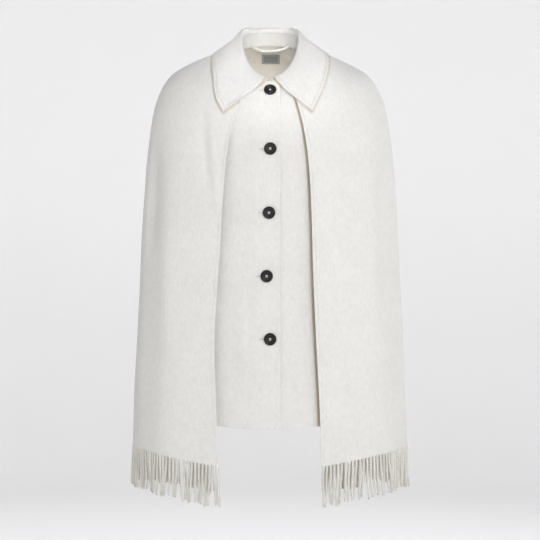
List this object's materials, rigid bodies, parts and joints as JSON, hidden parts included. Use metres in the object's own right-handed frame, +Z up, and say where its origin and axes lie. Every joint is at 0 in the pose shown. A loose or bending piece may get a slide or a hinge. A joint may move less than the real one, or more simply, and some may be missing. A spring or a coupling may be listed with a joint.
{
  "type": "fringed cape jacket",
  "caption": "Worn wool jacket with a pointed collar on a stand, a lapped button front and a fringed cape over the shoulders.",
  "frame": {"origin": "middle of the base of the neck, level with where the wearer's shoulders hold the garment", "axes": "+Z up, the front faces -Y, +X is the right-hand side as seen from the front"},
  "size_m": [0.526, 0.3022, 0.9149],
  "materials": {
    "cream_wool": "matte felted wool",
    "fringe_yarn": "matte wool yarn",
    "dark_horn": "gloss",
    "label_tape": "woven satin"
  },
  "bodies": {
    "root": {"jacket_front_right": "cream_wool", "jacket_front_left": "cream_wool", "jacket_back": "cream_wool", "cape_front_right": "cream_wool", "cape_front_left": "cream_wool", "cape_back_right": "cream_wool", "cape_back_left": "cream_wool", "collar_stand": "cream_wool", "collar_leaf": "cream_wool", "hanger_loop": "cream_wool", "neck_label": "label_tape", "button_1": "dark_horn", "button_2": "dark_horn", "button_3": "dark_horn", "button_4": "dark_horn", "button_5": "dark_horn", "fringe_front_right": "fringe_yarn", "fringe_front_left": "fringe_yarn", "fringe_back_right": "fringe_yarn", "fringe_back_left": "fringe_yarn"}
  },
  "joints": []
}
